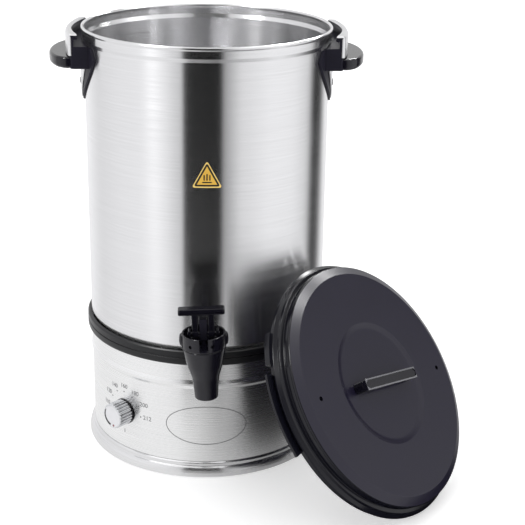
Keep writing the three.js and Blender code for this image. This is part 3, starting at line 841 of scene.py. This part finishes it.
def make_handle(side):
    place = HANDLES[side]
    block = cut(
        prism(f"bracket_{side}", block_outline(0), BLOCK_LOW, BLOCK_TOP, place, bottom=2.0),
        rod("wall", BODY + GAP, 400, RIM_TOP - 18, place, FINE),
        rod("collar", COLLAR + 0.6, RIM_TOP - 19, 520, place, FINE),
        rod("lip", LIP, CHANNEL_LOW, 520, place, FINE),
        rod("channel", CHANNEL, CHANNEL_LOW, LIP_LOW, place, FINE),
        finger_recess(place),
    )
    shield = wall_plate("shield", shield_outline(69, 416, 486), BODY + GAP, 142.4, place)
    bracket = join(block, cut(shield, screw_hole(place)))
    piece(soften(bracket, 0.5), "dull", "kettle", f"handle_bracket_{side}")

    hood = cut(
        prism(f"hood_{side}", block_outline(1.5, 4.4), 477, 501, place, top=3.6),
        prism("inside", block_outline(GAP), 470, BLOCK_TOP + GAP, place, top=2.6),
        rod("mouth", LIP, 470, 520, place, FINE),
    )
    piece(soften(hood, 0.25, 2, gap=0.0005), "cover", "kettle", f"handle_hood_{side}")

    bill = rounded([(140, -56.6), (158.5, -56.6, 12), *arc(149.6, 0, 29.6, 60, -56, 56, 48),
                    (158.5, 56.6, 12), (140, 56.6)])
    grip = cut(
        prism(f"grip_{side}", bill, GRIP_LOW, GRIP_TOP, place, top=3.2, bottom=4.6, steps=8),
        prism("block", block_outline(GAP), GRIP_LOW - 1, GRIP_TOP + 1, place),
        finger_recess(place),
    )
    piece(soften(grip, 0.4), "gloss", "kettle", f"handle_grip_{side}")

    trim = wall_plate(f"trim_{side}", shield_outline(50, 419, 461), 142.8, 144.2, place)
    piece(soften(cut(trim, screw_hole(place)), 0.35), "cover", "kettle", f"handle_trim_{side}")
    head = rounded([
        (0, 141), (2, 141), (2, 144.6), (4.2, 144.6), (4.2, 145.1, 0.2), (3, 145.8, 1.4), (0, 145.9),
    ])
    seat = place @ shift(0, 0, SCREW_HEIGHT) @ ALONG_X
    screw = cut(lathe(f"screw_{side}", head, seat, SMALL), *cross(seat, 145.9, 4.6, 0.9))
    piece(screw, "mill", "kettle", f"handle_screw_{side}")


# ---------------- tap, heights over the shank in mm
SEAT = -9.0
BONNET_LOW = 3.6
BONNET_FLOOR = 6.1
CUP_RIM = 19.8
CHAMBER = 17.5  # radius


def make_tap_body():
    spout = rounded([
        (9.8, -58.5, 0.6), (13.0, -58.5, 3.2), (13.3, -54, 8), (14.2, -42, 30), (15.4, -33, 24),
        (19.7, -19, 40), (24.4, BONNET_LOW - GAP, 0.7),
        (CHAMBER, BONNET_LOW - GAP, 0.4), (CHAMBER, SEAT, 0.8),
        (8.5, SEAT, 0.4), (8.5, SEAT - 4), (9.4, -45),
    ])
    thread = [(10.5 - 0.7 * (k % 2), 48 + 1.0 * k) for k in range(14)]
    shank = rounded([
        (0, 12), (8, 12), (8, 27.0, 1.2), (16, 28.8, 1.2), (16, 32, 0.5), (10.5, 32), (10.5, 47), *thread,
        (9.4, 62), (0, 62),
    ])
    shank = cut(lathe("shank", shank, SHANK), rod("chamber", CHAMBER, SEAT, 12, TAP),
                prism("space", rounded_rectangle(22, 16, 0.5, 0, 17.8), BONNET_LOW - GAP, 14, TAP))
    body = join(lathe("tap_spout", spout, TAP), shank)
    body = merge_close(cut(body, rod("bore", 6, 8, 70, SHANK)), 0.0005)
    piece(body, "gloss", "kettle", "tap_body", sharp=40)

    outer = rounded([(10.8, 32.3), (16, 32.3, 0.5), (16, 33.6, 0.5), (10.8, 33.6)])
    piece(lathe("washer_outside", outer, SHANK), "rubber", "kettle", "tap_gasket_outer")
    inner = rounded([(10.8, 37.1), (14.5, 37.1, 0.5), (14.5, 38.8, 0.5), (10.8, 38.8)])
    piece(lathe("washer_inside", inner, SHANK), "silicone", "kettle", "tap_gasket_inner")
    nut = prism("shank_nut", circle(16, 6), 39.1, 47, SHANK)
    nut = cut(nut, rod("nut_hole", 10.9, 30, 60, SHANK))
    piece(soften(nut, 0.6), "mill", "kettle", "tap_nut")


def make_bonnet():
    cup = rounded([
        (4.6, BONNET_LOW), (24.0, BONNET_LOW, 0.5), (24.7, 4.8, 0.8), (24.7, 7, 8), (24.3, CUP_RIM, 0.9),
        (22.3, CUP_RIM, 0.7), (21.6, BONNET_FLOOR, 1.4), (4.6, BONNET_FLOOR),
    ])
    cup = lathe("bonnet", cup, TAP)
    slot = prism("slot", rounded_rectangle(9.6, 14, 0.6, 0, -24), 7.4, 30, TAP)
    dimples = []
    for around, height in ((22, 11.4), (-37, 10.4)):
        side = TAP @ shift(0, 0, height) @ turn(around) @ turn(90, "X")
        dimples.append(rod("dimple", 2.0, 22.6, 30, side, SMALL))
    boss = rounded([(0, 21.6), (8, 21.6), (8, 24.2, 1.0), (6.6, 26.2, 2.4), (3, 27.0, 4), (0, 27.1)])
    oval = TAP @ shift(0, 0, 11.8) @ Matrix.Diagonal((1, 0.66, 1, 1))
    lugs = [lathe("lug", boss, oval @ turn(90 * side, "Y"), SMALL) for side in (-1, 1)]
    ears = [prism("ear", rounded_rectangle(3, 10, 1, 15.3 * side, 0), 5, 23, TAP, top=0.9)
            for side in (-1, 1)]
    bonnet = join(cut(cup, slot, *dimples), *lugs, *ears)
    bonnet = cut(bonnet, rod("pin_hole", PIN_HOLE, -20, 20, PIN, SMALL))
    piece(soften(bonnet, 0.3, 2, 50), "gloss", "kettle", "tap_bonnet", sharp=40)
    pin = rounded([(0, -17.4), (1.8, -17.4, 0.4), (1.8, 17.4, 0.4), (0, 17.4)])
    # The pivot pin gets the darkened steel: painted shade between the lever's legs
    piece(lathe("pivot_pin", pin, PIN, SMALL), "blackened", "kettle", "tap_pivot_pin")


def make_spring():
    """The return spring, which the stem presses together against the bonnet as it lifts; here it is drawn
    at rest and does not move.
    """
    low, travel, turns, steps, reach, wire = -3.9, 6.0, 3, 40, 7.6, 0.7
    up = Vector((0, 0, 1))
    path = []
    for i in range(turns * steps + 1):
        out = Vector((math.cos(2 * math.pi * i / steps), math.sin(2 * math.pi * i / steps), 0))
        path.append((out * reach + up * (low + travel * i / (turns * steps)), out, up))
    spring = sweep("return_spring", path, circle(wire, 12), TAP)
    spring = piece(spring, "mill", "kettle", "tap_spring")
    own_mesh(spring)


def make_lever():
    bar = prism("lever", rounded_rectangle(51, 12, 2.2, -1.4, 0), 41.5, 48.5, TAP, top=1.3, bottom=1.3)
    groove = prism("groove", rounded_rectangle(60, 2.0, 0.2, 0, -6.4), 43.6, 44.9, TAP)
    legs = []
    for side in (-1, 1):
        leg = prism("leg", rounded_rectangle(7, 9, 1.0, LEG * side, 0), PIVOT, 42.5, TAP)
        eye = rod("eye", 6, LEG * side - 3.5, LEG * side + 3.5, PIN, SMALL)
        legs += [leg, eye]
    hole = rod("pin_hole", PIN_HOLE, -20, 20, PIN, SMALL)
    lever = cut(join(cut(bar, groove), *legs), hole)
    piece(soften(lever, 0.3, 2, 50), "gloss", "tap_lever", "tap_lever")
    make_spring()
    stem = prism("stem", rounded_rectangle(8.4, 8, 0.8), 11.4, 36, TAP, top=0.7)
    stem = cut(join(stem, rod("spindle", 3.2, -2.3, 12, TAP, SMALL)),
               prism("eye", rounded_rectangle(12, 4.2, 1.0), 12.9, 20.1, TAP))
    piece(stem, "dull", "tap_stem", "tap_stem")


# ---------------- lid
DISC = 5.0  # height of the disc over the edge of the top face
DIMPLE = 70.8  # radius
VENTS = 112.0  # from the centre, along the bar
BAR_SCREWS = 44.0  # from the centre, along the bar
PANEL = 18.8  # height of the panel in the bar's top


def ring_sector(inner, outer, start, end, low, high, place):
    outline = arc(0, 0, outer, outer, start, end, 24) + arc(0, 0, inner, inner, end, start, 24)
    return prism("sector", outline, low, high, place)


def make_lid():
    profile = rounded([
        (0, DISC - 1.7), (DIMPLE - 5, DISC - 1.7, 24), (DIMPLE, DISC, 5), (90, DISC), (130, DISC, 3),
        (140.5, 0, 1.4), (141, -2.2, 0.8), (140.2, -3.2, 0.4), (140.2, -9.4, 0.5), (144.8, -10.6, 0.8),
        (145.2, -13.6, 0.5), (148.9, -16.6, 1.2), (148.9, -19, 0.8), (145.8, -20, 0.5),
        (145.8, -24.6, 0.4),
        (144.2, -24.6, 0.4), (144.2, -12.8), (137.6, -12.8), (137.6, -21, 0.4), (136, -21, 0.4),
        (136, -0.5, 2), (129, DISC - 2.4, 3), (90, DISC - 2.4), (DIMPLE + 1, DISC - 2.4, 4),
        (DIMPLE - 5, DISC - 4.4, 10), (0, DISC - 4.4),
    ])
    shell = lathe("lid", profile, LID, FINE)
    lugs = []
    for half_turn in (0, 180):
        place = LID @ turn(half_turn)
        lugs.append(ring_sector(145, 156.5, 152, 186, -24.5, -21.5, place))
        lugs.append(ring_sector(145, 153.5, 134, 148, -24.5, -17.5, place))
    bar_place = LID @ turn(LID_BAR_TURN)
    holes = []
    for side in (-1, 1):
        vent = bar_place @ shift(side * VENTS, 0, 0)
        lugs.append(rod("vent_boss", 4.4, DISC - 9, DISC - 1, vent, SMALL))
        holes.append(rod("vent", 2.6, -10, 10, vent, SMALL))
        holes.append(rod("pilot", 2.3, -10, 10, bar_place @ shift(side * BAR_SCREWS, 0, 0), SMALL))
    shell = cut(join(shell, *lugs), *holes)
    shell = piece(soften(shell, 0.25, 2, 60), "satin", "lid", "lid_shell", sharp=40)
    shell.data.materials.append(FINISHES["rim"][0])
    flat = LID.inverted()
    for polygon in shell.data.polygons:
        polygon.material_index = int((flat @ polygon.center).z < 1.0)

    outline = rounded([
        (-51, DISC - 1.5), (-37, DISC - 1.5), (-34.5, 12.5, 2.5), (34.5, 12.5, 2.5), (37, DISC - 1.5),
        (51, DISC - 1.5), (51, 15, 2.0), (47, 20, 2.0), (-47, 20, 2.0), (-51, 15, 2.0),
    ])
    bar = prism("lid_bar", outline, -6.5, 6.5, bar_place @ turn(90, "X"), top=1.4, bottom=1.4)
    screws = [bar_place @ shift(side * BAR_SCREWS, 0, 0) for side in (-1, 1)]
    pilots = [rod("pilot", 2.3, 0, 12, place, SMALL) for place in screws]
    plan = prism("plan", rounded_rectangle(102, 13, 6.2), 0, 30, bar_place)
    panel = prism("panel", rounded_rectangle(95, 9.4, 4.4), PANEL, 24, bar_place)
    bar = soften(cut(common(bar, plan), panel, *pilots), 0.35, 3, 50)
    bar = piece(bar, "gloss", "lid", "lid_grip")
    bar.data.materials.append(FINISHES["painted_highlight_edge"][0])
    # The ridge tops round the panel get the lighter finish: a painted highlight along the bar's edges
    own = bar_place.inverted()
    for polygon in bar.data.polygons:
        height = (own @ polygon.center).z
        level = (own.to_3x3() @ polygon.normal).normalized().z
        polygon.material_index = int(height > PANEL + 0.05 and level > 0.15)

    head = rounded([(0, -4.4), (3.4, -4.4, 0.7), (4, -3.4, 0.4), (4, -0.8), (2, -0.8), (2, 11), (0, 11)])
    for i, place in enumerate(screws):
        screw = cut(lathe(f"lid_fixing_{i + 1}", head, place, SMALL), *cross(place, -4.4, 5))
        piece(merge_close(screw, 0.0003), "mill", "lid", f"lid_screw_{i + 1}")
    gasket = rounded([(138, -14.4, 0.5), (143.8, -14.4, 0.5), (143.8, -13.1, 0.5), (138, -13.1, 0.5)])
    piece(lathe("lid_seal", gasket, LID, FINE), "silicone", "lid", "lid_gasket")


# ---------------- inner parts from the frame
def finish_inner_parts():
    inner = {
        "heat_plate": "cast", "heating_element": "mill", "thermal_cutout": "ceramic",
        "terminal_block": "ceramic", "wire_live": "brown", "wire_earth": "green", "wire_neutral": "blue",
        "thermostat_body": "ceramic", "thermostat_capillary": "brass", "knob_shaft": "mill",
        "tap_seat_cup": "silicone",
    }
    for node, finish in inner.items():
        refinish(node, finish)


# ---------------- studio
# Distance and height in mm, turns in degrees
CAMERA = {
    "distance": 1487.55, "height": 764.47, "down": 20.274, "right": 2.601, "roll": 1.0, "lens": 89.51,
}


def make_camera():
    down, right = math.radians(CAMERA["down"]), math.radians(CAMERA["right"])
    ahead = Vector((math.sin(right) * math.cos(down), math.cos(right) * math.cos(down), -math.sin(down)))
    side = Vector((math.cos(right), -math.sin(right), 0))
    up = side.cross(ahead)
    tilt = Matrix.Rotation(math.radians(CAMERA["roll"]), 3, -ahead)
    side = tilt @ side
    up = tilt @ up
    data = bpy.data.cameras.new("camera")
    data.lens = CAMERA["lens"]
    data.sensor_width = 36
    data.clip_end = 100
    camera = bpy.data.objects.new("camera", data)
    origin = KETTLE @ Vector((0, -CAMERA["distance"], CAMERA["height"]))
    camera.matrix_world = Matrix.Translation(origin) @ Matrix((side, up, -ahead)).transposed().to_4x4()
    bpy.context.scene.collection.objects.link(camera)
    bpy.context.scene.camera = camera


# What stands round the object, as (azimuth in degrees, brightness). Azimuth 0 is in front and
# positive to the right: white screens at both sides and dark openings in front and at the right.
SURROUNDINGS = [
    (-180, 0.06), (-176, 0.06), (-173, 0.95), (-150, 1.05), (-122, 0.88), (-90, 0.98), (-60, 1.02),
    (-38, 0.92), (-28, 0.76), (-23.2, 0.70), (-21.6, 0.006), (13.4, 0.006), (14.8, 0.32), (17, 0.42),
    (22, 0.58), (32, 0.88), (60, 1.06), (90, 1.02), (109, 0.84), (117, 0.16), (121, 0.04), (133, 0.06),
    (142, 0.60), (148, 0.95), (173, 0.95), (176, 0.06), (180, 0.06),
]
# Brightness of the ring overhead, of the ceiling straight above and of the wall behind
OVERHEAD = 1.9
ZENITH = 0.75
BEHIND = 0.85
AIM = Vector((0.05, -0.05, 0.25))
SOFTBOX_REACH = 2.2


def climb(degrees):
    """The height on a unit sphere of a direction that rises by an angle."""
    return math.sin(math.radians(degrees))


def make_world():
    world = bpy.data.worlds.new("studio")
    bpy.context.scene.world = world
    world.use_nodes = True
    tree = world.node_tree
    tree.nodes.clear()
    place = add_node(tree, "ShaderNodeTexCoord").outputs["Generated"]
    split = add_node(tree, "ShaderNodeSeparateXYZ", {"Vector": place}).outputs
    front = add_node(tree, "ShaderNodeMath", {0: split["Y"], 1: -1.0}, operation="MULTIPLY")
    angle = add_node(tree, "ShaderNodeMath", {0: split["X"], 1: front.outputs["Value"]},
                     operation="ARCTAN2")
    share = spread(tree, angle.outputs["Value"], 0.0, 1.0, -math.pi, math.pi)
    ramp = add_node(tree, "ShaderNodeValToRGB", {"Fac": share})
    stops = ramp.color_ramp.elements
    for i, (azimuth, value) in enumerate(SURROUNDINGS):
        position = (azimuth + 180) / 360
        stop = stops[i] if i < 2 else stops.new(position)
        stop.position = position
        stop.color = (value, value, value * 1.01, 1)
    high = spread(tree, split["Z"], 0.0, 1.0, climb(52), climb(62))
    top = spread(tree, split["Z"], OVERHEAD, ZENITH, climb(66), climb(74))
    above = mix(tree, high, ramp.outputs["Color"], top)
    back = spread(tree, split["Y"], 0.0, 1.0, 0.80, 0.90)
    raised = spread(tree, split["Z"], 0.0, 1.0, 0.06, 0.16)
    mask = add_node(tree, "ShaderNodeMath", {0: back, 1: raised}, operation="MULTIPLY")
    behind = mix(tree, mask.outputs["Value"], above, (BEHIND, BEHIND, BEHIND, 1))
    light = add_node(tree, "ShaderNodeBackground", {"Color": behind})
    add_node(tree, "ShaderNodeOutputWorld", {"Surface": light.outputs["Background"]})


def stage_disc(name, radius, height):
    disc = prism(name, circle(radius, FINE), height - 1, height, KETTLE)
    material = bpy.data.materials.new(name)
    material.use_nodes = True
    disc.data.materials.append(material)
    material.node_tree.nodes.clear()
    return disc, material.node_tree


def make_stage():
    """A pale floor that glows a little, and a glowing card that only polished metal sees: a painted
    reflection of that floor near by, with a painted shadow where it dims towards the lid.
    """
    floor, tree = stage_disc("floor", 30000, -0.2)
    paper = add_node(tree, "ShaderNodeBsdfDiffuse", {"Color": (0.93, 0.93, 0.93, 1)})
    glow = add_node(tree, "ShaderNodeEmission", {"Strength": 0.45})
    both = add_node(tree, "ShaderNodeAddShader", {0: paper.outputs[0], 1: glow.outputs[0]})
    add_node(tree, "ShaderNodeOutputMaterial", {"Surface": both.outputs[0]})
    floor.visible_glossy = False

    # A glowing card seen only in reflections: a painted reflection of the floor, dimmed round
    # shade_centre as a painted shadow
    mat, tree = stage_disc("painted_floor_reflection", 430, -1.5)
    shade_centre = KETTLE @ Vector((260, -220, 0))
    place = add_node(tree, "ShaderNodeTexCoord").outputs["Object"]
    reach = add_node(tree, "ShaderNodeVectorMath", {0: place, 1: shade_centre}, operation="DISTANCE")
    strength = spread(tree, reach.outputs["Value"], 0.02, 0.92, 0.12, 0.31)
    glow = add_node(tree, "ShaderNodeEmission", {"Strength": strength})
    add_node(tree, "ShaderNodeOutputMaterial", {"Surface": glow.outputs[0]})
    mat.visible_camera = False
    mat.visible_diffuse = False
    mat.visible_shadow = False


def make_softbox(name, azimuth, elevation, size, power):
    """A softbox that only adds highlights, to the pot and the mouldings, aimed at the object."""
    data = bpy.data.lights.new(name, "AREA")
    data.shape = "RECTANGLE"
    data.size, data.size_y = size
    data.energy = power
    light = bpy.data.objects.new(name, data)
    around, above = math.radians(azimuth), math.radians(elevation)
    level = math.cos(above)
    away = Vector((math.sin(around) * level, -math.cos(around) * level, math.sin(above)))
    facing = away.to_track_quat("Z", "Y").to_matrix().to_4x4()
    light.matrix_world = Matrix.Translation(AIM + away * SOFTBOX_REACH) @ facing
    light.visible_diffuse = False
    light.visible_camera = False
    light.light_linking.receiver_collection = HIGHLIT
    bpy.context.scene.collection.objects.link(light)


bpy.context.scene.view_settings.view_transform = "Standard"
make_camera()
make_world()
make_softbox("left softbox", -62, 50, (0.30, 0.8), 22)
make_softbox("right softbox", 118, 58, (0.4, 0.4), 16)
make_softbox("back softbox", 150, 37, (1.3, 0.3), 24)
make_stage()
make_pot()
make_base()
make_inlet()
make_marks()
make_dial()
make_knob()
for side in HANDLES:
    make_handle(side)
make_tap_body()
make_bonnet()
make_lever()
make_lid()
finish_inner_parts()
